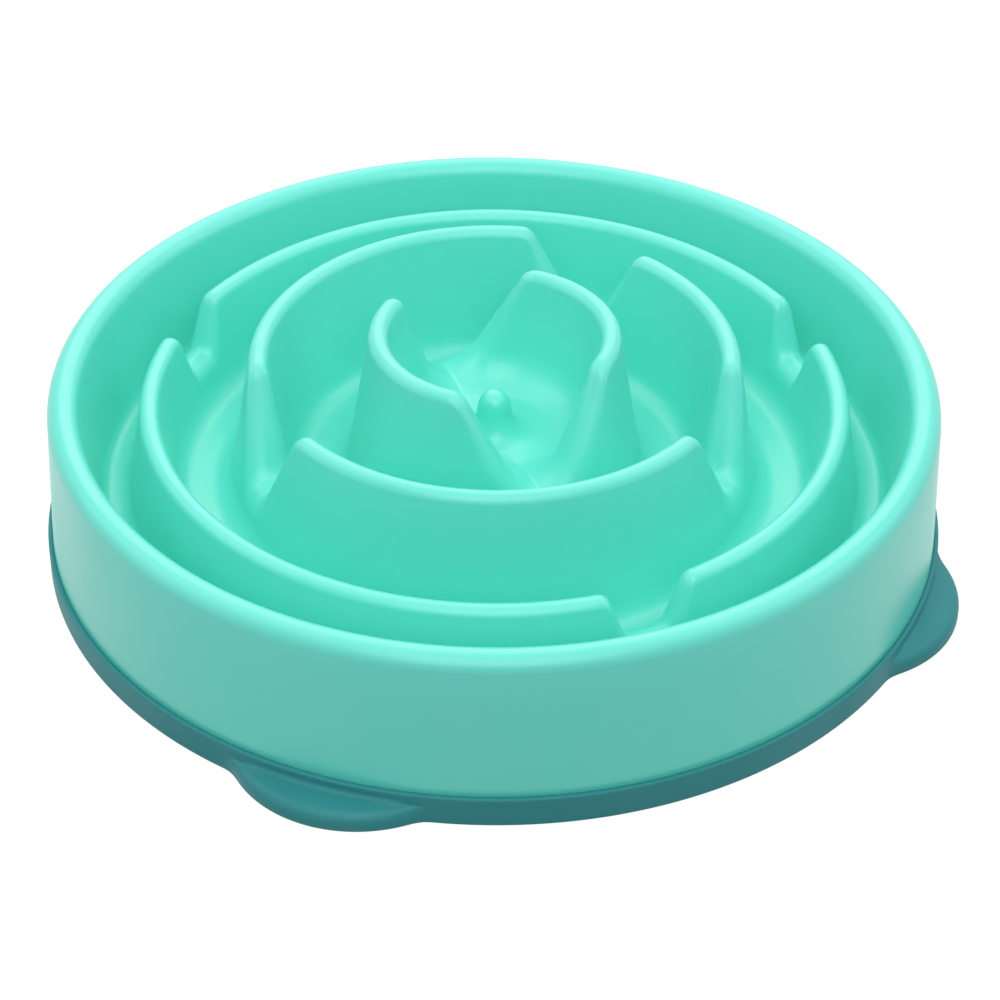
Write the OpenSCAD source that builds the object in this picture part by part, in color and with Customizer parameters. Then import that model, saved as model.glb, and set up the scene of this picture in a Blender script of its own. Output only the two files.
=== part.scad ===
/* [Rim and outer wall] */
// Outside diameter of the bowl at its rim
rim_d = 290; // [270:1:310]
// Height of the rim's top above the table
rim_h = 60.5; // [56:0.5:64]
// Radius of the rolled rim
rim_r = 5.1; // [4.4:0.1:5.6]
// Wall thickness of the moulding
wall_t = 2.6; // [2:0.1:3]
// Draft of the outer wall, in degrees
skirt_draft = 2.3; // [1:0.1:3]

/* [Maze ridges] */
// Radius of the rounded crests
crest_r = 3.4; // [3.2:0.1:3.8]
// Draft of the ridge flanks and of the inner wall, in degrees
flank_draft = 9; // [8:0.5:10]
// Lean of the round core in a ridge's sloping end, in degrees away from upright
end_slope = 16; // [12:1:20]
// Radius of the outer ring of ridges, at the crest
outer_ring_r = 112.4; // [108:0.2:116]
// Height of the outer ridges
outer_ridge_h = 55.3; // [50:0.1:60]
// Height of the low saddles between the outer ridges
outer_saddle_h = 37; // [34:0.5:40]
// Width of the gaps between the outer ridges, along the crest
outer_gap_w = 33; // [30:0.2:38]
// Direction of the outer ring's first gap, in degrees
outer_gap_angle = 22.5; // [15:0.5:30]
// Radius of the middle ring of ridges, at the crest
middle_ring_r = 76.6; // [74:0.2:79]
// Height of the middle ridges
middle_ridge_h = 70.5; // [64:0.5:75]
// Height of the low saddles between the middle ridges
middle_saddle_h = 40; // [36:0.5:43]
// Width of the gaps between the middle ridges, along the crest
middle_gap_w = 46; // [42:0.5:52]
// Direction of the middle ring's first gap, in degrees
middle_gap_angle = 66; // [60:0.5:72]
// Radius of the inner pair of ridges, at the crest
inner_ring_r = 37.7; // [36:0.1:40]
// Height of the inner ridges, which are the tallest
inner_ridge_h = 78.6; // [74:0.2:84]
// Width of the gaps between the inner ridges, along the crest
inner_gap_w = 56; // [50:0.5:60]
// Direction of the inner pair's first gap, in degrees
inner_gap_angle = 112.5; // [105:0.5:120]

/* [Food channels] */
// Height of the outer channel's floor above the table
outer_floor_h = 22; // [18:0.5:25]
// Corner radius of the outer channel
outer_floor_r = 4; // [3:0.1:4.2]
// Height of the middle channel's floor
middle_floor_h = 22; // [18:0.5:25]
// Height of the inner channel's floor
inner_floor_h = 26; // [22:0.5:29]
// Corner radius of the middle channel
middle_floor_r = 7.5; // [5:0.5:8]
// Corner radius of the inner channel
inner_floor_r = 6.5; // [5:0.5:7]

/* [Centre] */
// Height of the floor inside the inner ridges
centre_floor_h = 39; // [37:0.5:42]
// Radius of the floor's round edge in the gaps of the inner ridges
centre_edge_r = 5; // [4:0.5:6]
// Corner radius round the centre floor
centre_floor_r = 5; // [3:0.5:6]
// Height of the centre post's domed top
post_h = 54.7; // [50:0.5:60]
// Radius of the centre post's dome
post_r = 5.7; // [4.5:0.1:7]

/* [Base ring] */
// Height of the rubber base ring
ring_h = 10.4; // [9:0.2:13]
// Thickness of rubber under the bowl's edge
ring_floor_t = 3; // [2:0.1:4]
// Thickness of rubber outside the bowl's wall
ring_outer_t = 1.3; // [1.2:0.1:2.5]
// Thickness of rubber inside the bowl's wall
ring_inner_t = 3; // [2:0.1:5]
// Rounding of the ring's edges
ring_edge_r = 0.7; // [0.4:0.1:0.9]
// Clearance between the ring's groove and the bowl's wall
groove_gap = 0.15; // [0.1:0.05:0.3]

/* [Grip tabs] */
// Number of grip tabs round the ring
tab_count = 4; // [2:2:6]
// Direction of the first tab, in degrees
tab_angle = 70; // [0:0.5:90]
// How far a tab stands out from the ring
tab_reach = 10.6; // [8:0.2:14]
// Radius of a tab's round outline
tab_r = 41; // [30:1:50]
// Thickness of a tab
tab_t = 6.4; // [4:0.2:8]
// Rounding of a tab's top edge
tab_edge_r = 3.6; // [2:0.2:3.8]
// Radius of the hollow corners beside a tab
tab_fillet_r = 9; // [5:0.5:14]

/* [Hidden] */
$fn = 120;
// Facets of the small rounded forms
small_fn = 40;
// Sides of the same forms on the hidden underside, where they are drawn as polygons
hollow_fn = 12;
// How far a cut runs past what it cuts
overrun = 1;
// How much wider than its ridge the rounded core of a sloping end is
nose_over = 1.1;
// How far a flank or a floor dips into the round form that it runs into, as a share of its radius
dip_share = 0.004;
// How much wider a low saddle is than the high ridges, on each side
saddle_over = 0.2;
// Share of half a gap that a ridge's low end runs into it, hidden under the saddle
reach_share = 0.97;
// How far a tab's hollow corner dips into the ring, as a share of its radius
fillet_dip_share = 0.02;
// Where the gaps of a ring lie, in degrees round from its first gap
outer_gap_turns = [0, 135, 272];
middle_gap_turns = [0, 137.5, 273];
inner_gap_turns = [0, 180];
// Each ring of ridges: crest radius, crest height, saddle height, gap width, gap directions
outer_ring = [outer_ring_r, outer_ridge_h, outer_saddle_h, outer_gap_w,
    [for (turn = outer_gap_turns) outer_gap_angle + turn]];
middle_ring = [middle_ring_r, middle_ridge_h, middle_saddle_h, middle_gap_w,
    [for (turn = middle_gap_turns) middle_gap_angle + turn]];
inner_ring = [inner_ring_r, inner_ridge_h, centre_floor_h, inner_gap_w,
    [for (turn = inner_gap_turns) inner_gap_angle + turn]];
rings = [outer_ring, middle_ring, inner_ring];
rim_mid_r = rim_d / 2 - rim_r;
rim_mid_h = rim_h - rim_r;
skirt_foot_h = ring_floor_t;
ridge_foot_h = min(outer_floor_h, middle_floor_h) - wall_t - overrun;
lean = tan(flank_draft);
ring_r = skirt_r(0, skirt_foot_h) + ring_outer_t;
ring_bore_r = skirt_r(wall_t, ring_h) - ring_inner_t;
tab_mid_r = ring_r + tab_reach - tab_r;
// Centre of a hollow corner, which touches the tab and dips a little into the ring
fillet_ring_r = ring_r + tab_fillet_r * (1 - fillet_dip_share);
fillet_tab_r = tab_r + tab_fillet_r;
fillet_x = (pow(fillet_ring_r, 2) - pow(fillet_tab_r, 2) + pow(tab_mid_r, 2)) / (2 * tab_mid_r);
fillet_mid = [fillet_x, sqrt(pow(fillet_ring_r, 2) - pow(fillet_x, 2))];
// Direction, seen from the middle of a tab's outline, in which its round edge ends
tab_turn = atan2(fillet_mid[1], fillet_x - tab_mid_r);

// What a ring of ridges holds
function mid_r(ring) = ring[0];
function crest_h(ring) = ring[1];
function saddle_h(ring) = ring[2];
function half_gap(ring) = ring[3] / ring[0] * 90 / PI;
function gap_angles(ring) = ring[4];

// Radius of the core that the flat sides of a round form touch, a little inside its surface
function core(round_r) = round_r * (1 - dip_share);
// Radius of the outer wall at a height, drawn in by a wall of a given thickness
function skirt_r(inset, h) =
    rim_mid_r + core(rim_r - inset) / cos(skirt_draft) + tan(skirt_draft) * (rim_mid_h - h);
// Half the width, at a height, of a drafted ridge with a round top
function half_w(round_r, centre_h, h) = core(round_r) / cos(flank_draft) + lean * (centre_h - h);
// Half the width of a ring's high ridges at a height, and of its low saddles
function ridge_w(ring, inset, h) = half_w(crest_r - inset, crest_h(ring) - crest_r, h);
function saddle_w(ring, inset, h) = ridge_w(ring, inset, h) + saddle_over;
// Radius of a round top that touches both flanks of a low saddle
function saddle_round(ring, inset) =
    saddle_w(ring, inset, saddle_h(ring) - inset) / ((1 - dip_share) / cos(flank_draft) - lean);

// Radius of one flank of a ring's low saddles at a height; side is 1 for the outer flank
function flank_r(ring, side, inset, h) = mid_r(ring) + side * saddle_w(ring, inset, h);
// Radius of the inner wall at a height
function wall_r(inset, h) = rim_mid_r - half_w(rim_r - inset, rim_mid_h, h);
// Radii of the groove's two sides at a height
function groove_out(h) = skirt_r(0, h) + groove_gap;
function groove_in(h) = skirt_r(wall_t, h) - groove_gap;

// Round form of a section, drawn as a polygon round the circle on the hidden underside
module round_section(round_r, inset) {
    if (inset == 0)
        circle(r = round_r, $fn = small_fn);
    else
        circle(r = round_r / cos(180 / hollow_fn), $fn = hollow_fn);
}

// Section of a ridge: two drafted flanks under a round top
module ridge_section(mid_r, top_h, round_r, foot_h, inset) {
    centre_h = top_h - round_r;
    foot_w = half_w(round_r, centre_h, foot_h);
    side = core(round_r) * [cos(flank_draft), sin(flank_draft)];
    translate([mid_r, 0]) {
        polygon([[-foot_w, foot_h], [foot_w, foot_h],
            [side[0], centre_h + side[1]], [-side[0], centre_h + side[1]]]);
        translate([0, centre_h])
            round_section(round_r, inset);
    }
}

// Hollow corner where a flank meets a floor, at the flank's foot; side is 1 for a flank on the left
module corner_section(foot_r, floor_h, corner_r, side, inset) {
    core_r = core(corner_r);
    run = core_r * (1 - sin(flank_draft)) / cos(flank_draft);
    touch = [run - core_r * cos(flank_draft), core_r * (1 - sin(flank_draft))];
    translate([foot_r, floor_h])
        mirror([side > 0 ? 0 : 1, 0])
            difference() {
                polygon([[-overrun, -overrun], [run, -overrun], [run, core_r], touch,
                    [touch[0] - overrun, touch[1]]]);
                translate([run, core_r])
                    round_section(corner_r, inset);
            }
}

// Floor of a channel between two flanks, with its two hollow corners
module floor_section(low_r, high_r, floor_h, corner_r, foot_h, inset) {
    translate([low_r - overrun, foot_h])
        square([high_r - low_r + 2 * overrun, floor_h - foot_h]);
    corner_section(low_r, floor_h, corner_r, 1, inset);
    corner_section(high_r, floor_h, corner_r, -1, inset);
}

// Section of the outer wall, from its foot to the rolled rim, less a wall of a given thickness
module wall_section(inset, foot_h) {
    round_r = rim_r - inset;
    out = core(round_r) * [cos(skirt_draft), sin(skirt_draft)];
    in = core(round_r) * [cos(flank_draft), sin(flank_draft)];
    polygon([[wall_r(inset, foot_h), foot_h], [skirt_r(inset, foot_h), foot_h],
        [rim_mid_r + out[0], rim_mid_h + out[1]], [rim_mid_r - in[0], rim_mid_h + in[1]]]);
    translate([rim_mid_r, rim_mid_h])
        round_section(round_r, inset);
}

// Section of the skin's upper side without the high ridges, drawn in by a wall of a given thickness
module skin_section(inset, foot_h) {
    outer_h = outer_floor_h - inset;
    middle_h = middle_floor_h - inset;
    inner_h = inner_floor_h - inset;
    centre_h = centre_floor_h - inset;
    wall_section(inset, foot_h);
    floor_section(flank_r(outer_ring, 1, inset, outer_h), wall_r(inset, outer_h), outer_h,
        outer_floor_r + inset, foot_h, inset);
    saddle_section(outer_ring, inset, foot_h);
    floor_section(flank_r(middle_ring, 1, inset, middle_h), flank_r(outer_ring, -1, inset, middle_h),
        middle_h, middle_floor_r + inset, foot_h, inset);
    saddle_section(middle_ring, inset, foot_h);
    floor_section(flank_r(inner_ring, 1, inset, inner_h), flank_r(middle_ring, -1, inset, inner_h),
        inner_h, inner_floor_r + inset, foot_h, inset);
    centre_section(inset, foot_h);
    post_section(inset, centre_h, foot_h);
}

// Floor inside the inner ridges, with its round edge over the inner channel
module centre_section(inset, foot_h) {
    edge_r = centre_edge_r - inset;
    edge_h = centre_floor_h - inset - core(edge_r);
    edge_x = flank_r(inner_ring, 1, inset, edge_h) - core(edge_r) / cos(flank_draft);
    touch = core(edge_r) * [cos(flank_draft), sin(flank_draft)];
    polygon([[0, foot_h], [flank_r(inner_ring, 1, inset, foot_h), foot_h],
        [edge_x + touch[0], edge_h + touch[1]], [edge_x, centre_floor_h - inset],
        [0, centre_floor_h - inset]]);
    translate([edge_x, edge_h])
        round_section(edge_r, inset);
}

// Low saddle that carries on the flanks of its ring of ridges
module saddle_section(ring, inset, foot_h) {
    ridge_section(mid_r(ring), saddle_h(ring) - inset, saddle_round(ring, inset), foot_h, inset);
}

// Right half of the centre post, with its dome and the hollow corner at its foot
module post_section(inset, floor_h, foot_h) {
    dome_r = post_r - inset;
    dome_h = post_h - post_r;
    foot_r = half_w(dome_r, dome_h, floor_h);
    side = core(dome_r) * [cos(flank_draft), sin(flank_draft)];
    polygon([[0, foot_h], [half_w(dome_r, dome_h, foot_h), foot_h],
        [side[0], dome_h + side[1]], [0, dome_h + side[1]]]);
    intersection() {
        translate([0, dome_h])
            round_section(dome_r, inset);
        translate([0, dome_h - 2 * dome_r])
            square(4 * dome_r);
    }
    corner_section(foot_r, floor_h, centre_floor_r + inset, 1, inset);
}

// Section of one high ridge; the inner pair has a hollow corner against the centre floor
module high_section(ring, inset) {
    ridge_section(mid_r(ring), crest_h(ring) - inset, crest_r - inset, ridge_foot_h, inset);
    if (ring == inner_ring)
        corner_section(mid_r(ring) - ridge_w(ring, inset, centre_floor_h - inset), centre_floor_h - inset,
            centre_floor_r + inset, -1, inset);
}

// Half section of a ridge end's rounded core: a ball on a cone that spreads as the flanks do
module nose_section(round_r, length) {
    side = core(round_r) * [cos(flank_draft), sin(flank_draft)];
    polygon([[0, -side[1]], [side[0], -side[1]], [half_w(round_r, length, 0), length], [0, length]]);
    intersection() {
        circle(r = round_r, $fn = small_fn);
        translate([0, -2 * round_r])
            square(4 * round_r);
    }
}

// Rounded core of a ridge's sloping end, turned so that its revolve starts inside the ridge
module nose(ring) {
    rotate([0, 0, 90])
        rotate_extrude($fn = small_fn)
            nose_section(crest_r + nose_over, (crest_h(ring) - ridge_foot_h) / cos(end_slope));
}

// What is cut away beyond the sloping end of a ridge, which leans square to the ring halfway down
module end_cut(ring, inset) {
    size = 2 * crest_h(ring);
    centre_h = crest_h(ring) - crest_r;
    turn = (centre_h - saddle_h(ring)) * tan(end_slope) / mid_r(ring) * 90 / PI;
    translate([mid_r(ring), 0, centre_h])
        rotate([0, 0, turn])
            rotate([180 + end_slope, 0, 0])
                difference() {
                    translate([-size / 2, -size, -size / 2])
                        cube([size, size, 2 * size]);
                    if (inset == 0)
                        nose(ring);
                }
}

// One high ridge between the directions where its crest starts and ends, with a low end in each gap
module high_ridge(ring, start, end, inset) {
    reach = half_gap(ring) * reach_share;
    difference() {
        rotate([0, 0, start - reach])
            rotate_extrude(angle = end - start + 2 * reach)
                high_section(ring, inset);
        rotate([0, 0, end])
            end_cut(ring, inset);
        rotate([0, 0, start])
            mirror([0, 1, 0])
                end_cut(ring, inset);
    }
}

// Skin with all its ridges as a closed block, drawn in by a wall of a given thickness
module skin(inset, foot_h) {
    rotate_extrude()
        skin_section(inset, foot_h);
    for (ring = rings) {
        gaps = gap_angles(ring);
        for (i = [0 : len(gaps) - 1]) {
            next = i + 1 < len(gaps) ? gaps[i + 1] : gaps[0] + 360;
            high_ridge(ring, gaps[i] + half_gap(ring), next - half_gap(ring), inset);
        }
    }
}

// The moulded bowl, open from below
module bowl() {
    color([0.35, 0.83, 0.75])
        difference() {
            skin(0, skirt_foot_h);
            skin(wall_t, skirt_foot_h - overrun);
        }
}

// Rectangle from one corner, with all its corners rounded
module rounded_rect(size, round_r) {
    translate([round_r, 0])
        square([size[0] - 2 * round_r, size[1]]);
    translate([0, round_r])
        square([size[0], size[1] - 2 * round_r]);
    for (x = [round_r, size[0] - round_r], y = [round_r, size[1] - round_r])
        translate([x, y])
            circle(r = round_r, $fn = small_fn);
}

// Section of the base ring, with the groove that grips the bowl's edge
module ring_section() {
    top_h = ring_h + overrun;
    difference() {
        translate([ring_bore_r, 0])
            rounded_rect([ring_r - ring_bore_r, ring_h], ring_edge_r);
        polygon([[groove_in(ring_floor_t), ring_floor_t], [groove_out(ring_floor_t), ring_floor_t],
            [groove_out(top_h), top_h], [groove_in(top_h), top_h]]);
    }
}

// Half section of a grip tab's pad, with its rounded top edge kept above the flat underside
module tab_section() {
    square([tab_r - tab_edge_r, tab_t]);
    square([tab_r, tab_t - tab_edge_r]);
    intersection() {
        translate([tab_r - tab_edge_r, tab_t - tab_edge_r])
            circle(r = tab_edge_r, $fn = small_fn);
        square(2 * tab_r);
    }
}

// Grip tab along the X axis, as a round pad with a rounded top edge
module tab_pad() {
    translate([tab_mid_r, 0, 0])
        rotate([0, 0, -tab_turn])
            rotate_extrude(angle = 2 * tab_turn)
                tab_section();
}

// Hollow corner where a tab runs into the ring, with the same rounded top edge
module tab_corner() {
    flare_r = tab_fillet_r + tab_edge_r;
    difference() {
        linear_extrude(height = tab_t)
            polygon([[0, 0], [tab_mid_r, 0], fillet_mid]);
        translate([fillet_mid[0], fillet_mid[1], 0])
            rotate_extrude()
                difference() {
                    translate([0, -overrun])
                        square([flare_r, tab_t + 2 * overrun]);
                    translate([tab_fillet_r, -2 * overrun])
                        square([flare_r, tab_t - tab_edge_r + 2 * overrun]);
                    translate([flare_r, tab_t - tab_edge_r])
                        circle(r = tab_edge_r, $fn = small_fn);
                }
    }
}

// The rubber ring under the bowl, with its grip tabs
module base_ring() {
    color([0.17, 0.47, 0.49]) {
        rotate_extrude()
            ring_section();
        difference() {
            for (i = [0 : tab_count - 1])
                rotate([0, 0, tab_angle + i * 360 / tab_count]) {
                    tab_pad();
                    tab_corner();
                    mirror([0, 1, 0])
                        tab_corner();
                }
            translate([0, 0, -overrun])
                cylinder(r = ring_r - ring_outer_t / 2, h = tab_t + 2 * overrun);
        }
    }
}

bowl();
base_ring();
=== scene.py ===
"""Slow feeder bowl: a moulded maze bowl of glossy mint plastic on a soft teal base ring.

The bowl is one hollow moulding. Its section runs from the centre post over three rings of ridges to the
rolled rim, down the outer wall and back under the floor at wall thickness. It is spun once round, and
each column of the spun skin then takes the section of its own direction, where the ridges slope down
into their gaps. Sizes are in millimetres until a mesh is finished, and the frame is in metres.
"""
import logging
import math
from dataclasses import dataclass, field
from enum import Enum
from typing import Callable, Sequence

import bmesh
import bpy
import numpy as np
from mathutils import Matrix, Vector


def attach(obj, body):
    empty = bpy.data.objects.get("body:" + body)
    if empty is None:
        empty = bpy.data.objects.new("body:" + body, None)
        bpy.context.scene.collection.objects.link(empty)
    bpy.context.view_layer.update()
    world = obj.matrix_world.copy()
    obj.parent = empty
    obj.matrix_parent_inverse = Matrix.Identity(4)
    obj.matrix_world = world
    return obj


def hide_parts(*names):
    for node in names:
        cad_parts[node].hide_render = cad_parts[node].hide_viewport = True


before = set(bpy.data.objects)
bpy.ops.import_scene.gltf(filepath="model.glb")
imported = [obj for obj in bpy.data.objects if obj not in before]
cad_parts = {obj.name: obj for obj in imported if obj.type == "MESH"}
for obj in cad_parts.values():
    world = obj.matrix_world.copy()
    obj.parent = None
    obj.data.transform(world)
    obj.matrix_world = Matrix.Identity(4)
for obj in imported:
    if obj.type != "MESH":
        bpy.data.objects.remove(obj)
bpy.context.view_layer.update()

LOG = logging.getLogger("slow_feeder")
MM = 0.001
ROOT = "root"
FULL_TURN = 2.0 * math.pi
# Lean of every flank inside the bowl, in degrees from upright.
FLANK_DRAFT = 9.0
# The radius below which a point is on the axis, and how near to each other points are merged.
ON_AXIS = 1e-6
MERGE_GAP = 1e-4
# Halvings in the searches for a round top and for a surface's height, and the flattest top allowed.
CAP_ROUNDS = 24
LIE_ROUNDS = 26
FLATTEST_CAP = 0.02
# Samples along a tall ridge's inner side, and the length that weighs as much as a bend of one radian.
SPILL_STEPS = 160
SPILL_REACH = 14.0
# Samples round the bowl, and how far extra columns spread at a ridge end, for the end's level run.
ANGLE_STEPS = 7201
END_SPREAD = 0.8
WHITE = (1.0, 1.0, 1.0, 1.0)

Point = tuple[float, float]
Place = tuple[float, float, float]
Colour = tuple[float, float, float]


class Slot(Enum):
    """The record's material slots."""

    BOWL = "bowl"
    BASE_RING = "base_ring"


class Gap(Enum):
    """How the floor runs through a gap in a ring of ridges."""

    SADDLE = "saddle"
    SPILL = "spill"


def arc(mid: Point, radius: float, start: float, end: float, count: int, stretch: float = 1.0) -> list[Point]:
    """Points on an arc, both ends included.

    Args:
        mid: Its centre, as radius and height.
        radius: Its radius.
        start: Where it starts, in degrees from outwards.
        end: Where it ends.
        count: How many points it has.
        stretch: How many times taller than wide it is.

    Returns:
        The points from start to end.
    """
    turns = np.radians(np.linspace(start, end, count))
    return [(mid[0] + radius * math.cos(a), mid[1] + stretch * radius * math.sin(a)) for a in turns]


def between(start: Point, end: Point, count: int) -> list[Point]:
    """Points spread evenly on a line, without its ends.

    Args:
        start: Where the line starts.
        end: Where it ends.
        count: How many points lie between.

    Returns:
        The points in order.
    """
    shares = [(i + 1) / (count + 1) for i in range(count)]
    return [(start[0] + (end[0] - start[0]) * s, start[1] + (end[1] - start[1]) * s) for s in shares]


def soft_max(a: float, b: float, blend: float) -> float:
    """The larger of two lengths, with a rounded change from one to the other.

    Args:
        a: One length.
        b: The other.
        blend: How far apart they are where the rounding starts.

    Returns:
        The rounded larger length.
    """
    near = max(blend - abs(a - b), 0.0) / blend
    return max(a, b) + near * near * blend / 4.0


def turned(theta: float | np.ndarray, start: float) -> float | np.ndarray:
    """How far a direction is turned from another, from -180 to 180 degrees."""
    return (theta - start + 180.0) % 360.0 - 180.0


def eased(share: float) -> float:
    """A share held between 0 and 1, with a soft start and end."""
    held = min(max(share, 0.0), 1.0)
    return held * held * (3.0 - 2.0 * held)


@dataclass(frozen=True)
class RidgeEnd:
    """How a ridge slopes down into a gap: its corner, lean from upright, round shoulder and foot."""

    corner: float
    slope: float
    shoulder: float
    foot_blend: float = 3.5

    def shoulder_start(self) -> float:
        """How far from the gap's middle the level crest ends."""
        lean = math.radians(self.slope)
        return self.corner + self.shoulder * (1.0 - math.sin(lean)) / math.cos(lean)

    def fall(self, out: float) -> float:
        """How far the top line has fallen from the crest.

        Args:
            out: Distance from the gap's middle.

        Returns:
            The fall, which is 0 on the level crest.
        """
        lean = math.radians(self.slope)
        past = self.shoulder_start() - out
        if past <= 0.0:
            return 0.0
        if past <= self.shoulder * math.cos(lean):
            return self.shoulder - math.sqrt(self.shoulder ** 2 - past ** 2)
        return (self.corner - out) / math.tan(lean)

    def front(self, falls: np.ndarray) -> np.ndarray:
        """How far from the gap's middle the ridge starts, at some depths below its crest.

        Args:
            falls: The depths.

        Returns:
            The distances.
        """
        lean = math.radians(self.slope)
        up = np.clip(self.shoulder - falls, 0.0, self.shoulder)
        curve = self.shoulder_start() - np.sqrt(self.shoulder ** 2 - up ** 2)
        on_shoulder = falls < self.shoulder * (1.0 - math.sin(lean))
        return np.where(on_shoulder, curve, self.corner - falls * math.tan(lean))


@dataclass(frozen=True)
class RingGap:
    """A gap in a ring of ridges, with the ridge ends on its two sides."""

    angle: float
    before: RidgeEnd
    after: RidgeEnd


@dataclass
class RidgeRing:
    """One ring of maze ridges that share a radius, with the gaps between them."""

    mid_r: float
    crest_h: float
    saddle_h: float
    gaps: tuple[RingGap, ...]
    saddle_stretch: float
    column_gain: float
    gap: Gap = Gap.SADDLE
    spill_r: float = 0.0
    crest_r: float = 3.4
    draft: float = FLANK_DRAFT
    stretch_over: float = 0.3
    low_from: float = 0.8
    low_over: float = 0.2
    tops: dict[float, float] = field(default_factory=dict)

    def flank(self, height: float, inset: float) -> float:
        """Half the ridge's width between its drafted flanks.

        Args:
            height: Where it is measured.
            inset: How far the section is drawn in.

        Returns:
            The half width.
        """
        lean = math.radians(self.draft)
        drop = self.crest_h - self.crest_r - height
        return (self.crest_r - inset) / math.cos(lean) + math.tan(lean) * drop

    def nearest_gap(self, theta: float) -> tuple[RingGap, float]:
        """The gap nearest to a direction, and how far along the crest the direction lies from its middle.

        Args:
            theta: The direction, in degrees.

        Returns:
            The gap, and the distance, which is above zero after the gap.
        """
        turns = [(turned(theta, gap.angle), gap) for gap in self.gaps]
        turn, gap = min(turns, key=lambda pair: abs(pair[0]))
        return gap, math.radians(turn) * self.mid_r

    def top(self, theta: float) -> float:
        """Height of the ridge's top line in a direction, worked out once for each direction."""
        if theta not in self.tops:
            self.tops[theta] = self.top_line(theta)
        return self.tops[theta]

    def top_line(self, theta: float) -> float:
        """Works out the height of the ridge's top line in a direction, from crest to saddle.

        Args:
            theta: The direction, in degrees.

        Returns:
            The height.
        """
        if self.gap is Gap.SPILL:
            return float(self.lie(np.array([self.mid_r]), theta, 0.0, self.saddle_h, self.spill_r)[0])
        gap, away = self.nearest_gap(theta)
        height = self.saddle_h
        for end, out in ((gap.before, -away), (gap.after, away)):
            height = soft_max(height, self.crest_h - end.fall(out), end.foot_blend)
        return height

    def stretch(self, theta: float) -> float:
        """How tall the section's round top is for its width: 1 on the crest, more down the sloping end.

        Args:
            theta: The direction, in degrees.

        Returns:
            Its height as a share of its half width.
        """
        gap, _ = self.nearest_gap(theta)
        share = (self.crest_h - self.top(theta)) / (self.crest_h - self.saddle_h)
        slope = 1.0 / math.tan(math.radians((gap.before.slope + gap.after.slope) / 2.0))
        up = eased(share / self.stretch_over)
        low = eased((share - self.low_from) / self.low_over)
        return 1.0 + (slope - 1.0) * up + (self.saddle_stretch - slope) * low

    def cap(self, top_h: float, inset: float, stretch: float) -> tuple[float, float, float]:
        """The round top that touches both flanks.

        Args:
            top_h: Its highest point.
            inset: How far the section is drawn in.
            stretch: How tall it is for its width.

        Returns:
            Its half width, the height of its middle and the direction of the touching points, in degrees.
        """
        lean = math.tan(math.radians(self.draft))
        radius = self.flank(top_h, inset) / (math.sqrt(1.0 + (lean * stretch) ** 2) - lean * stretch)
        return radius, top_h - stretch * radius, math.degrees(math.atan(lean * stretch))

    def flank_left(self, stretch: float, top_h: float, inset: float, low_h: float) -> float:
        """How much flank is left between a round top and the foot, below zero where there is none."""
        radius, mid_h, turn = self.cap(top_h, inset, stretch)
        return mid_h + stretch * radius * math.sin(math.radians(turn)) - low_h

    def fitted_cap(self, theta: float, inset: float, low_h: float) -> tuple[float, float, float, float]:
        """The round top in a direction, flattened where its flanks would not reach down to their foot.

        Args:
            theta: The direction, in degrees.
            inset: How far the section is drawn in.
            low_h: The highest place at which a flank may end.

        Returns:
            What cap gives, then the stretch.
        """
        top_h = self.top(theta) - inset
        high = self.stretch(theta)
        if self.flank_left(high, top_h, inset, low_h) >= 0.0:
            return *self.cap(top_h, inset, high), high
        low = FLATTEST_CAP
        for _ in range(CAP_ROUNDS):
            middle = (low + high) / 2.0
            fits = self.flank_left(middle, top_h, inset, low_h) >= 0.0
            low, high = (middle, high) if fits else (low, middle)
        return *self.cap(top_h, inset, low), low

    def width(self, heights: np.ndarray, inset: float) -> np.ndarray:
        """Half the width of a full ridge at some heights, under its round crest too.

        Args:
            heights: Where it is measured.
            inset: How far the section is drawn in.

        Returns:
            The half widths.
        """
        mid_h, radius = self.crest_h - self.crest_r, self.crest_r - inset
        touch_h = mid_h + radius * math.sin(math.radians(self.draft))
        cap = np.sqrt(np.maximum(radius ** 2 - (heights - mid_h) ** 2, 0.0))
        return np.where(heights > touch_h, cap, self.flank(heights, inset))

    def away(self, radii: np.ndarray, theta: float, heights: np.ndarray, inset: float) -> np.ndarray:
        """How far points lie from the ridges' sides, whose ends are round like the bow of a boat.

        Args:
            radii: The points' radii.
            theta: Their direction, in degrees.
            heights: Their heights.
            inset: How far the ridges are drawn in.

        Returns:
            The level distances, below zero inside a ridge.
        """
        gap, along = self.nearest_gap(theta)
        half = self.width(heights, inset)
        nearest = np.full_like(radii, np.inf)
        for end, out in ((gap.before, -along), (gap.after, along)):
            front = end.front(self.crest_h - heights) + inset
            turn = np.maximum(front + half - out, 0.0) / self.mid_r
            across, ahead = radii * np.cos(turn) - self.mid_r, radii * np.sin(turn)
            nearest = np.minimum(nearest, np.hypot(across, ahead) - half)
        return nearest

    def lie(self, radii: np.ndarray, theta: float, inset: float, floor_h: float,
            corner_r: float) -> np.ndarray:
        """Heights of the surface where the ridges rise from a floor out of a hollow corner.

        Args:
            radii: Where it is wanted, as radii.
            theta: Their direction, in degrees.
            inset: How far the surface is drawn in.
            floor_h: The floor's height.
            corner_r: The corner's radius.

        Returns:
            The heights.
        """
        low, high = np.full_like(radii, floor_h), np.full_like(radii, self.crest_h - inset)
        upright = math.cos(math.radians(self.draft))
        for _ in range(LIE_ROUNDS):
            middle = (low + high) / 2.0
            rise = middle - floor_h
            gone = self.away(radii, theta, middle, inset) * upright
            corner = np.hypot(np.maximum(corner_r - rise, 0.0), np.maximum(corner_r - gone, 0.0))
            solid = (corner > corner_r) | (gone < 0.0)
            low, high = np.where(solid, middle, low), np.where(solid, high, middle)
        return low

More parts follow.
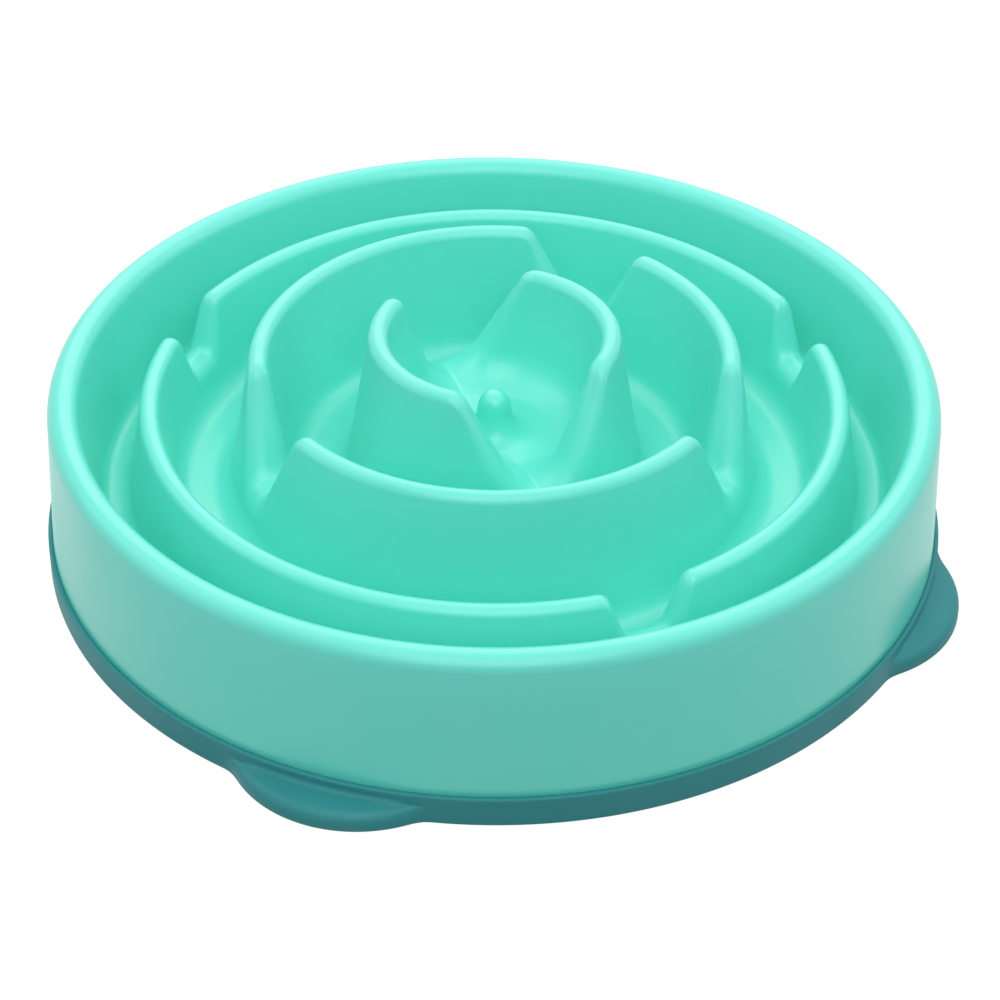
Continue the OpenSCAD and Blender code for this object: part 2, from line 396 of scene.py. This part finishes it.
    def side(self, theta: float, inset: float, low_h: float, cap_rows: int, flank_rows: int) -> list[Point]:
        """One side of the section from its foot's upper end to just below the top line.

        Args:
            theta: The direction, in degrees.
            inset: How far the section is drawn in.
            low_h: Height of the foot's upper end.
            cap_rows: How many points the round top has on this side.
            flank_rows: How many points the flank has above its foot.

        Returns:
            Distances from the ring's middle and heights, upwards.
        """
        radius, mid_h, turn, stretch = self.fitted_cap(theta, inset, low_h)
        touch = math.radians(turn)
        top = (radius * math.cos(touch), mid_h + stretch * radius * math.sin(touch))
        foot = (self.flank(low_h, inset), low_h)
        step = (90.0 - turn) / cap_rows
        cap = arc((0.0, mid_h), radius, turn, 90.0 - step, cap_rows, stretch)
        return between(foot, top, flank_rows) + cap


OUTER_END = RidgeEnd(corner=13.4, slope=20.0, shoulder=4.0)
MIDDLE_END = RidgeEnd(corner=20.6, slope=27.5, shoulder=5.0)
OUTER_GAPS = tuple(RingGap(angle, OUTER_END, OUTER_END) for angle in (22.5, 157.5, 294.5))
MIDDLE_GAPS = tuple(RingGap(angle, MIDDLE_END, MIDDLE_END) for angle in (66.0, 203.5, 339.0))
INNER_GAPS = (
    RingGap(
        angle=112.5,
        before=RidgeEnd(corner=25.2, slope=29.0, shoulder=7.0),
        after=RidgeEnd(corner=24.0, slope=22.0, shoulder=4.5),
    ),
    RingGap(
        angle=292.5,
        before=RidgeEnd(corner=25.2, slope=28.0, shoulder=8.0),
        after=RidgeEnd(corner=25.2, slope=29.0, shoulder=8.0),
    ),
)


def outer_ridges() -> RidgeRing:
    """The three low ridges next to the wall."""
    return RidgeRing(mid_r=112.4, crest_h=55.3, saddle_h=37.0, gaps=OUTER_GAPS, saddle_stretch=1.0,
                     column_gain=3.4)


def middle_ridges() -> RidgeRing:
    """The three ridges half way in."""
    return RidgeRing(mid_r=76.6, crest_h=70.5, saddle_h=39.0, gaps=MIDDLE_GAPS, saddle_stretch=1.0,
                     column_gain=1.8)


def inner_ridges() -> RidgeRing:
    """The two tall ridges round the centre, between which the centre floor spills out."""
    return RidgeRing(mid_r=37.7, crest_h=78.59, saddle_h=39.0, gaps=INNER_GAPS, saddle_stretch=0.45,
                     column_gain=0.5, gap=Gap.SPILL, spill_r=12.0)


@dataclass(frozen=True)
class Fineness:
    """How many rows each form of the section gets."""

    cap: int
    flank: int
    foot: int
    dome: int
    rim: int
    wall: int
    spill: int


@dataclass
class MazeBowl:
    """The one-piece bowl: centre post, maze ridges, channels, rolled rim and outer wall."""

    rim_mid_r: float = 139.9
    rim_mid_h: float = 55.4
    rim_r: float = 5.1
    wall_t: float = 2.6
    wall_draft: float = 2.3
    draft: float = FLANK_DRAFT
    foot_h: float = 3.0
    outer_floor_h: float = 22.0
    outer_floor_r: float = 4.0
    middle_floor_h: float = 22.0
    inner_floor_h: float = 26.0
    floor_r: float = 7.5
    centre_floor_h: float = 39.0
    centre_floor_r: float = 12.0
    post_h: float = 54.7
    post_r: float = 5.3
    post_foot_r: float = 8.0
    columns: int = 440
    over: Fineness = Fineness(cap=8, flank=3, foot=5, dome=7, rim=14, wall=4, spill=30)
    under: Fineness = Fineness(cap=3, flank=1, foot=2, dome=3, rim=4, wall=2, spill=10)
    outer: RidgeRing = field(default_factory=outer_ridges)
    middle: RidgeRing = field(default_factory=middle_ridges)
    inner: RidgeRing = field(default_factory=inner_ridges)

    def foot(self, touch_r: float, floor_h: float, radius: float, side: int, count: int) -> list[Point]:
        """The hollow corner between a floor and a drafted flank.

        Args:
            touch_r: Radius at which the flank's line meets the floor's.
            floor_h: The floor's height.
            radius: The corner's radius.
            side: 1 where the flank stands outwards of the floor, -1 where it stands inwards.
            count: How many points it has.

        Returns:
            The points from the floor up to the flank.
        """
        lean = math.radians(self.draft)
        run = radius * (1.0 - math.sin(lean)) / math.cos(lean)
        points = arc((0.0, floor_h + radius), radius, -90.0, -self.draft, count)
        return [(touch_r + side * (x - run), z) for x, z in points]

    def wall_r(self, height: float, inset: float) -> float:
        """Radius of the inner wall at a height."""
        lean, drop = math.radians(self.draft), self.rim_mid_h - height
        return self.rim_mid_r - (self.rim_r - inset) / math.cos(lean) - math.tan(lean) * drop

    def skirt_r(self, height: float, inset: float) -> float:
        """Radius of the outer wall at a height."""
        lean, drop = math.radians(self.wall_draft), self.rim_mid_h - height
        return self.rim_mid_r + (self.rim_r - inset) / math.cos(lean) + math.tan(lean) * drop

    def post(self, inset: float, rows: Fineness) -> list[Point]:
        """The centre post from its top to the centre floor.

        Args:
            inset: How far the section is drawn in.
            rows: How fine it is.

        Returns:
            The points outwards.
        """
        lean = math.radians(self.draft)
        mid_h, radius = self.post_h - self.post_r, self.post_r - inset
        dome = arc((0.0, mid_h), radius, 90.0, self.draft, rows.dome)
        floor_h = self.centre_floor_h - inset
        touch_r = radius / math.cos(lean) + math.tan(lean) * (mid_h - floor_h)
        corner = self.foot(touch_r, floor_h, self.post_foot_r + inset, -1, rows.foot)[::-1]
        return [(0.0, dome[0][1])] + dome[1:] + between(dome[-1], corner[0], rows.flank) + corner

    def ridge(self, ring: RidgeRing, theta: float, inset: float, floors: Sequence[float],
              radii: Sequence[float], rows: Fineness) -> list[Point]:
        """One ridge's section with the hollow corners at its feet, outwards.

        Args:
            ring: The ring that the ridge is in.
            theta: The direction, in degrees.
            inset: How far the section is drawn in.
            floors: Heights of the floors inside and outside it.
            radii: Radii of the hollow corners inside and outside it.
            rows: How fine it is.

        Returns:
            The points from the inner floor to the outer one.
        """
        sides = []
        for side, floor, radius in zip((-1, 1), floors, radii):
            if side < 0 and ring.gap is Gap.SPILL:
                sides.append(self.spill(ring, theta, inset, rows.spill))
                continue
            floor_h, corner_r = floor - inset, radius + inset
            touch_r = ring.flank(floor_h, inset)
            corner = self.foot(touch_r, floor_h, corner_r, -1, rows.foot)
            flank = ring.side(theta, inset, corner[-1][1], rows.cap, rows.flank)
            sides.append([(ring.mid_r + side * x, z) for x, z in corner + flank])
        return sides[0] + [(ring.mid_r, ring.top(theta) - inset)] + sides[1][::-1]

    def spill(self, ring: RidgeRing, theta: float, inset: float, count: int) -> list[Point]:
        """The inner side of the innermost ridges, which rise out of the centre floor in one soft hollow.

        Args:
            ring: The ring that the ridges are in.
            theta: The direction, in degrees.
            inset: How far the section is drawn in.
            count: How many points it has.

        Returns:
            The side outwards up to the ring's middle, which is left out, with more points where it bends.
        """
        floor_h, corner_r = self.centre_floor_h - inset, self.centre_floor_r + inset
        lean = math.radians(self.draft)
        run = corner_r * (1.0 - math.sin(lean)) / math.cos(lean)
        start = ring.mid_r - ring.flank(floor_h, inset) - run
        radii = np.linspace(start, ring.mid_r, SPILL_STEPS)
        heights = ring.lie(radii, theta, inset, floor_h, corner_r)
        steps = np.hypot(np.diff(radii), np.diff(heights))
        turns = np.abs(np.diff(np.arctan2(np.diff(heights), np.diff(radii)), append=0.0))
        turns[-1] = 0.0
        length = np.concatenate(([0.0], np.cumsum(steps / SPILL_REACH + turns)))
        wanted = np.arange(count) * length[-1] / count
        return list(zip(np.interp(wanted, length, radii), np.interp(wanted, length, heights)))

    def floors(self, theta: float, inset: float, rows: Fineness) -> list[Point]:
        """The skin from the centre to the rim's inner side.

        Args:
            theta: The direction, in degrees.
            inset: How far the section is drawn in.
            rows: How fine it is.

        Returns:
            The points outwards.
        """
        points = self.post(inset, rows)
        points += self.ridge(self.inner, theta, inset, (self.centre_floor_h, self.inner_floor_h),
                             (self.centre_floor_r, self.floor_r), rows)
        points += self.ridge(self.middle, theta, inset, (self.inner_floor_h, self.middle_floor_h),
                             (self.floor_r, self.floor_r), rows)
        points += self.ridge(self.outer, theta, inset, (self.middle_floor_h, self.outer_floor_h),
                             (self.floor_r, self.outer_floor_r), rows)
        floor_h = self.outer_floor_h - inset
        corner = self.foot(self.wall_r(floor_h, inset), floor_h, self.outer_floor_r + inset, 1, rows.foot)
        rim_mid, rim_r = (self.rim_mid_r, self.rim_mid_h), self.rim_r - inset
        rim = arc(rim_mid, rim_r, 180.0 - self.draft, self.wall_draft, rows.rim)
        return points + corner + between(corner[-1], rim[0], rows.wall) + rim

    def section(self, theta: float) -> list[Point]:
        """The whole section in a direction, from the post's top round the rim to the middle of the underside.

        Args:
            theta: The direction, in degrees.

        Returns:
            The points in order, with the same count in every direction.
        """
        over = self.floors(theta, 0.0, self.over)
        under = self.floors(theta, self.wall_t, self.under)
        foot_out = (self.skirt_r(self.foot_h, 0.0), self.foot_h)
        foot_in = (self.skirt_r(self.foot_h, self.wall_t), self.foot_h)
        return (over + between(over[-1], foot_out, self.over.wall) + [foot_out, foot_in]
                + between(foot_in, under[-1], self.under.wall) + under[::-1])

    def column_angles(self) -> list[float]:
        """Directions of the columns, closer together at the ridge ends.

        Returns:
            The directions in degrees, one for each column.
        """
        fine = np.linspace(0.0, 360.0, ANGLE_STEPS)
        density = np.ones_like(fine)
        for ring in (self.outer, self.middle, self.inner):
            for gap in ring.gaps:
                for side, end in ((-1.0, gap.before), (1.0, gap.after)):
                    run = (ring.crest_h - ring.saddle_h) * math.tan(math.radians(end.slope))
                    mid = gap.angle + side * math.degrees((end.corner - run / 2.0) / ring.mid_r)
                    spread = math.degrees(run * END_SPREAD / ring.mid_r)
                    density += ring.column_gain * np.exp(-((turned(fine, mid) / spread) ** 2))
        total = np.concatenate(([0.0], np.cumsum((density[1:] + density[:-1]) / 2.0)))
        wanted = np.arange(self.columns) * total[-1] / self.columns
        return list(np.interp(wanted, total, fine))

    def build(self) -> bpy.types.Object:
        """Spins the section and fits each column to its direction.

        Returns:
            The finished bowl.
        """
        angles, start = self.column_angles(), self.section(0.0)
        LOG.info("bowl skin: %d rows, %d columns", len(start), self.columns)
        return spun("bowl_skin", start, self.columns, lambda column: self.section(angles[column]),
                    lambda column: angles[column])


def spun(name: str, section: Sequence[Point], columns: int, section_at: Callable[[int], Sequence[Point]],
         angle_at: Callable[[int], float], closed: bool = False) -> bpy.types.Object:
    """A section spun once round the upright axis, each column then taking its own section.

    Args:
        name: The new object's name.
        section: The section that is spun, as radii and heights in millimetres.
        columns: How many steps the turn has.
        section_at: Gives the section of a column.
        angle_at: Gives the direction of a column, in degrees.
        closed: Whether the section's ends join, as in a ring.

    Returns:
        The object, in metres, at the origin.
    """
    mesh = bmesh.new()
    row_of = mesh.verts.layers.int.new("row")
    start = [mesh.verts.new((r, 0.0, z)) for r, z in section]
    for row, vert in enumerate(start):
        vert[row_of] = row
    pairs = list(zip(start, start[1:])) + ([(start[-1], start[0])] if closed else [])
    edges = [mesh.edges.new(pair) for pair in pairs]
    bmesh.ops.spin(mesh, geom=start + edges, cent=(0.0, 0.0, 0.0), axis=(0.0, 0.0, 1.0), angle=FULL_TURN,
                   steps=columns, use_merge=True)
    step = FULL_TURN / columns
    sections = [section_at(column) for column in range(columns)]
    turns = [math.radians(angle_at(column)) for column in range(columns)]
    on_axis = [row for row, point in enumerate(section) if point[0] < ON_AXIS]
    for vert in mesh.verts:
        row = vert[row_of]
        if row in on_axis:
            vert.co = (0.0, 0.0, section[row][1])
            continue
        column = round(math.atan2(vert.co.y, vert.co.x) / step) % columns
        radius, height = sections[column][row]
        vert.co = (radius * math.cos(turns[column]), radius * math.sin(turns[column]), height)
    bmesh.ops.remove_doubles(mesh, verts=mesh.verts[:], dist=MERGE_GAP)
    bmesh.ops.recalc_face_normals(mesh, faces=mesh.faces[:])
    return finished(name, mesh)


def finished(name: str, mesh: bmesh.types.BMesh) -> bpy.types.Object:
    """Turns a bmesh in millimetres into a smooth object in metres at the origin.

    Args:
        name: The object's name.
        mesh: The bmesh, which is freed.

    Returns:
        The linked object.
    """
    bmesh.ops.transform(mesh, matrix=Matrix.Scale(MM, 4), verts=mesh.verts[:])
    data = bpy.data.meshes.new(name)
    mesh.to_mesh(data)
    mesh.free()
    data.shade_smooth()
    piece = bpy.data.objects.new(name, data)
    bpy.context.scene.collection.objects.link(piece)
    return piece


@dataclass
class BaseRing:
    """The soft ring under the bowl, with a groove for its wall and grip tabs round it."""

    outer_r: float = 148.41
    bore_r: float = 141.2
    height: float = 10.4
    groove_floor: float = 3.0
    groove_out: float = 146.97
    groove_in: float = 144.06
    groove_lean: float = 0.04016
    edge_r: float = 0.7
    tab_angles: tuple[float, ...] = (70.0, 160.0, 250.0, 340.0)
    tab_reach: float = 10.5
    tab_r: float = 41.0
    tab_t: float = 6.4
    tab_edge_r: float = 3.4
    tab_blend: float = 2.4
    tab_fall: float = 0.7
    tab_span: float = 40.0
    groove_edge: float = 0.3
    edge_rows: int = 4
    bottom_rows: int = 3
    shoulder_rows: int = 7
    top_rows: int = 4
    columns: int = 480

    def reach(self, theta: float) -> float:
        """How far the ring stands out in a direction.

        Args:
            theta: The direction, in degrees.

        Returns:
            The distance beyond the plain ring.
        """
        mid = self.outer_r + self.tab_reach - self.tab_r
        away = min(abs(turned(theta, tab)) for tab in self.tab_angles)
        spare = self.tab_r ** 2 - (mid * math.sin(math.radians(away))) ** 2
        if spare <= 0.0 or away > self.tab_span:
            return 0.0
        out = mid * math.cos(math.radians(away)) + math.sqrt(spare) - self.outer_r
        return max(soft_max(0.0, out, self.tab_blend), 0.0)

    def section(self, theta: float) -> list[Point]:
        """The closed section in a direction, round from the bottom's inner edge.

        Args:
            theta: The direction, in degrees.

        Returns:
            The points in order.
        """
        out = self.reach(theta)
        edge, low_h = self.edge_r, self.tab_t - self.tab_edge_r
        grow = self.tab_edge_r * min(out / self.tab_edge_r, 1.0)
        inner = arc((self.bore_r + edge, edge), edge, 180.0, 270.0, self.edge_rows)
        bottom = between(inner[-1], (self.outer_r + out - edge, 0.0), self.bottom_rows)
        corner = arc((self.outer_r + out - edge, edge), edge, 270.0, 360.0, self.edge_rows)
        side = between(corner[-1], (self.outer_r + out, low_h), 1)
        turns = np.radians(np.linspace(0.0, 90.0, self.shoulder_rows))
        shoulder = [(self.outer_r + out - grow * (1.0 - math.cos(a)), low_h + self.tab_edge_r * math.sin(a))
                    for a in turns]
        last = shoulder[-1]
        shares = [(row + 1) / self.top_rows for row in range(self.top_rows)]
        top = [(last[0] + (self.outer_r - last[0]) * s, last[1] + self.tab_fall * s) for s in shares]
        lip = arc((self.outer_r - edge, self.height - edge), edge, 0.0, 90.0, self.edge_rows)
        rise = between(top[-1], lip[0], 1)
        back = arc((self.bore_r + edge, self.height - edge), edge, 90.0, 180.0, self.edge_rows)
        return inner + bottom + corner + side + shoulder + top + rise + lip + self.groove() + back

    def groove(self) -> list[Point]:
        """The groove for the bowl's wall, from its outer edge to its inner one.

        Returns:
            The points inwards.
        """
        lean = self.groove_lean * (self.height - self.groove_floor)
        out_r, in_r, low_h = self.groove_out - lean, self.groove_in - lean, self.height - self.groove_edge
        return [(out_r + self.groove_edge, self.height), (out_r, low_h), (self.groove_out, self.groove_floor),
                (self.groove_in, self.groove_floor), (in_r, low_h), (in_r - self.groove_edge, self.height)]

    def build(self) -> bpy.types.Object:
        """Spins the section and lets the tabs grow out of it.

        Returns:
            The finished ring.
        """
        step = 360.0 / self.columns
        return spun("base_ring_skin", self.section(0.0), self.columns,
                    lambda column: self.section(column * step), lambda column: column * step, closed=True)


class Nodes:
    """Adds nodes to a tree and links them."""

    def __init__(self, tree: bpy.types.NodeTree) -> None:
        """Keeps the tree, emptied."""
        self.tree = tree
        self.tree.nodes.clear()

    def add(self, kind: str, **values: object) -> bpy.types.Node:
        """Adds a node.

        Args:
            kind: Its type.
            values: Its settings, by attribute, or by socket name with spaces as underscores.

        Returns:
            The node.
        """
        node = self.tree.nodes.new(kind)
        for key, value in values.items():
            socket = node.inputs.get(key.replace("_", " "))
            if socket is not None and key[0].isupper():
                socket.default_value = value
            else:
                setattr(node, key, value)
        return node

    def link(self, source: bpy.types.NodeSocket, target: bpy.types.NodeSocket) -> None:
        """Links two sockets."""
        self.tree.links.new(source, target)


def moulded_grain() -> bpy.types.ShaderNodeTree:
    """The fine unevenness that a moulded surface has, in its gloss and its height.

    Returns:
        The node group, made once.
    """
    group = bpy.data.node_groups.get("moulded_grain")
    if group is not None:
        return group
    group = bpy.data.node_groups.new("moulded_grain", "ShaderNodeTree")
    face = group.interface
    for name in ("Scale", "Smooth", "Rough", "Depth"):
        face.new_socket(name, in_out="INPUT", socket_type="NodeSocketFloat")
    face.new_socket("Roughness", in_out="OUTPUT", socket_type="NodeSocketFloat")
    face.new_socket("Normal", in_out="OUTPUT", socket_type="NodeSocketVector")
    nodes = Nodes(group)
    entry, leave = nodes.add("NodeGroupInput"), nodes.add("NodeGroupOutput")
    where = nodes.add("ShaderNodeTexCoord")
    grain = nodes.add("ShaderNodeTexNoise", Detail=3.0)
    cloud = nodes.add("ShaderNodeTexNoise", Scale=28.0, Detail=2.0)
    gloss = nodes.add("ShaderNodeMapRange", From_Min=0.3, From_Max=0.7)
    bump = nodes.add("ShaderNodeBump", Distance=0.0002)
    nodes.link(where.outputs["Object"], grain.inputs["Vector"])
    nodes.link(where.outputs["Object"], cloud.inputs["Vector"])
    nodes.link(entry.outputs["Scale"], grain.inputs["Scale"])
    nodes.link(cloud.outputs["Fac"], gloss.inputs["Value"])
    nodes.link(entry.outputs["Smooth"], gloss.inputs["To Min"])
    nodes.link(entry.outputs["Rough"], gloss.inputs["To Max"])
    nodes.link(grain.outputs["Fac"], bump.inputs["Height"])
    nodes.link(entry.outputs["Depth"], bump.inputs["Strength"])
    nodes.link(gloss.outputs["Result"], leave.inputs["Roughness"])
    nodes.link(bump.outputs["Normal"], leave.inputs["Normal"])
    return group


@dataclass(frozen=True)
class MouldedFinish:
    """A moulded plastic or rubber, a little uneven in colour and gloss."""

    name: str
    light: Colour
    deep: Colour
    smooth: float
    rough: float
    grain_scale: float
    grain_depth: float
    specular: float
    ior: float = 1.47

    def material(self) -> bpy.types.Material:
        """Builds the finish.

        Returns:
            The material.
        """
        material = bpy.data.materials.new(self.name)
        material.use_nodes = True
        nodes = Nodes(material.node_tree)
        out = nodes.add("ShaderNodeOutputMaterial")
        shader = nodes.add("ShaderNodeBsdfPrincipled")
        shader.inputs["IOR"].default_value = self.ior
        shader.inputs["Specular IOR Level"].default_value = self.specular
        grain = nodes.add("ShaderNodeGroup")
        grain.node_tree = moulded_grain()
        for socket, value in (("Scale", self.grain_scale), ("Smooth", self.smooth), ("Rough", self.rough),
                              ("Depth", self.grain_depth)):
            grain.inputs[socket].default_value = value
        where = nodes.add("ShaderNodeTexCoord")
        flow = nodes.add("ShaderNodeTexNoise", Scale=9.0, Detail=3.0, Roughness=0.55)
        tint = nodes.add("ShaderNodeMix", data_type="RGBA")
        for socket, colour in (("A", self.light), ("B", self.deep)):
            entry = next(s for s in tint.inputs if s.name == socket and s.type == "RGBA")
            entry.default_value = (*colour, 1.0)
        nodes.link(where.outputs["Object"], flow.inputs["Vector"])
        nodes.link(flow.outputs["Fac"], tint.inputs["Factor"])
        nodes.link(next(s for s in tint.outputs if s.type == "RGBA"), shader.inputs["Base Color"])
        nodes.link(grain.outputs["Roughness"], shader.inputs["Roughness"])
        nodes.link(grain.outputs["Normal"], shader.inputs["Normal"])
        nodes.link(shader.outputs["BSDF"], out.inputs["Surface"])
        return material


MINT_PLASTIC = MouldedFinish(
    name="mint_plastic", light=(0.144, 0.81, 0.69), deep=(0.129, 0.79, 0.66), smooth=0.29, rough=0.37,
    grain_scale=700.0, grain_depth=0.06, specular=0.7,
)
TEAL_RUBBER = MouldedFinish(
    name="teal_rubber", light=(0.030, 0.28, 0.295), deep=(0.022, 0.225, 0.245), smooth=0.48, rough=0.60,
    grain_scale=1400.0, grain_depth=0.25, specular=0.4,
)


@dataclass(frozen=True)
class SoftLamp:
    """A square lamp: its name, where it hangs, its side in metres and its power in watts."""

    name: str
    at: Place
    size: float
    power: float


LAMPS = (
    SoftLamp("back", (0.0, 1.15, 1.0), 1.3, 8.6),
    SoftLamp("overhead", (0.0, 0.1, 1.3), 1.2, 3.3),
    SoftLamp("front", (0.0, -1.0, 1.15), 1.2, 9.2),
    SoftLamp("left", (-1.0, 0.1, 1.0), 1.0, 3.8),
    SoftLamp("right", (1.0, 0.1, 1.0), 1.0, 4.2),
    SoftLamp("left_low", (-1.3, -0.35, 0.22), 0.8, 1.4),
    SoftLamp("right_low", (1.3, -0.35, 0.22), 0.8, 1.0),
)


@dataclass
class Studio:
    """The plain pale set: floor, white surround, soft lamps and the camera."""

    focal_mm: float = 106.1
    sensor_mm: float = 36.0
    camera_at: Place = (0.002103, -0.792669, 0.602524)
    down: float = 36.763
    roll: float = 0.50
    clip_m: tuple[float, float] = (0.01, 50.0)
    floor_size: float = 2.6
    floor_tone: float = 0.3
    floor_lift: float = 0.85
    surround_level: float = 0.24
    aim: Place = (0.0, 0.0, 0.03)
    lamps: tuple[SoftLamp, ...] = LAMPS

    def camera(self) -> bpy.types.Object:
        """Places the camera where the photograph was taken from.

        Returns:
            The camera.
        """
        data = bpy.data.cameras.new("camera")
        data.lens, data.sensor_width = self.focal_mm, self.sensor_mm
        data.clip_start, data.clip_end = self.clip_m
        camera = bpy.data.objects.new("camera", data)
        tilt = Matrix.Rotation(math.radians(90.0 - self.down), 4, "X")
        roll = Matrix.Rotation(math.radians(self.roll), 4, "Z")
        camera.matrix_world = Matrix.Translation(Vector(self.camera_at)) @ tilt @ roll
        bpy.context.scene.collection.objects.link(camera)
        bpy.context.scene.camera = camera
        return camera

    def floor(self) -> bpy.types.Object:
        """Lays the floor, which looks white to the camera and in gloss and keeps the shadow.

        Returns:
            The floor.
        """
        mesh = bmesh.new()
        bmesh.ops.create_grid(mesh, x_segments=1, y_segments=1, size=self.floor_size / 2.0)
        data = bpy.data.meshes.new("floor")
        mesh.to_mesh(data)
        mesh.free()
        floor = bpy.data.objects.new("floor", data)
        bpy.context.scene.collection.objects.link(floor)
        material = bpy.data.materials.new("pale_floor")
        material.use_nodes = True
        nodes = Nodes(material.node_tree)
        out = nodes.add("ShaderNodeOutputMaterial")
        tone = self.floor_tone
        paper = nodes.add("ShaderNodeBsdfDiffuse", Color=(tone, tone, tone, 1.0))
        lift = nodes.add("ShaderNodeEmission", Color=WHITE, Strength=self.floor_lift)
        both = nodes.add("ShaderNodeAddShader")
        pick = nodes.add("ShaderNodeMixShader")
        nodes.link(paper.outputs["BSDF"], both.inputs[0])
        nodes.link(lift.outputs["Emission"], both.inputs[1])
        nodes.link(seen_rays(nodes), pick.inputs["Fac"])
        nodes.link(paper.outputs["BSDF"], pick.inputs[1])
        nodes.link(both.outputs["Shader"], pick.inputs[2])
        nodes.link(pick.outputs["Shader"], out.inputs["Surface"])
        data.materials.append(material)
        return floor

    def surround(self) -> None:
        """Sets the white surround."""
        world = bpy.data.worlds.new("surround")
        world.use_nodes = True
        nodes = Nodes(world.node_tree)
        out = nodes.add("ShaderNodeOutputWorld")
        seen = nodes.add("ShaderNodeBackground", Color=WHITE, Strength=1.0)
        lit = nodes.add("ShaderNodeBackground", Color=WHITE, Strength=self.surround_level)
        pick = nodes.add("ShaderNodeMixShader")
        nodes.link(seen_rays(nodes), pick.inputs["Fac"])
        nodes.link(lit.outputs["Background"], pick.inputs[1])
        nodes.link(seen.outputs["Background"], pick.inputs[2])
        nodes.link(pick.outputs["Shader"], out.inputs["Surface"])
        bpy.context.scene.world = world

    def hang(self, lamp: SoftLamp) -> bpy.types.Object:
        """Hangs a lamp that faces the bowl.

        Args:
            lamp: The lamp.

        Returns:
            Its object.
        """
        data = bpy.data.lights.new(lamp.name, "AREA")
        data.shape, data.size, data.energy = "SQUARE", lamp.size, lamp.power
        hung = bpy.data.objects.new(lamp.name, data)
        hung.location = lamp.at
        hung.rotation_euler = (Vector(self.aim) - Vector(lamp.at)).to_track_quat("-Z", "Y").to_euler()
        bpy.context.scene.collection.objects.link(hung)
        return hung

    def build(self) -> None:
        """Sets the whole studio."""
        self.floor()
        self.surround()
        self.camera()
        for lamp in self.lamps:
            self.hang(lamp)
        bpy.context.scene.view_settings.view_transform = "Standard"


def seen_rays(nodes: Nodes) -> bpy.types.NodeSocket:
    """Whether a ray is seen directly, in gloss or through something clear.

    Args:
        nodes: The tree that it is added to.

    Returns:
        The socket that is 1 for such a ray.
    """
    path = nodes.add("ShaderNodeLightPath")
    first = nodes.add("ShaderNodeMath", operation="MAXIMUM")
    second = nodes.add("ShaderNodeMath", operation="MAXIMUM")
    nodes.link(path.outputs["Is Camera Ray"], first.inputs[0])
    nodes.link(path.outputs["Is Glossy Ray"], first.inputs[1])
    nodes.link(first.outputs["Value"], second.inputs[0])
    nodes.link(path.outputs["Is Transmission Ray"], second.inputs[1])
    return second.outputs["Value"]


def dress(piece: bpy.types.Object, finish: MouldedFinish, node: str) -> None:
    """Gives a piece its finish and says what it stands for.

    Args:
        piece: The piece.
        finish: Its finish.
        node: The CAD node that it replaces.
    """
    piece.data.materials.append(finish.material())
    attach(piece, ROOT)
    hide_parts(node)
    LOG.info("%s: %d vertices, in place of %s", piece.name, len(piece.data.vertices), node)


def main() -> None:
    """Builds the bowl, its ring and the studio."""
    logging.basicConfig(level=logging.INFO, format="%(name)s: %(message)s")
    dress(MazeBowl().build(), MINT_PLASTIC, "bowl")
    dress(BaseRing().build(), TEAL_RUBBER, "base_ring")
    Studio().build()
    bpy.context.view_layer.update()


if __name__ == "__main__":
    main()
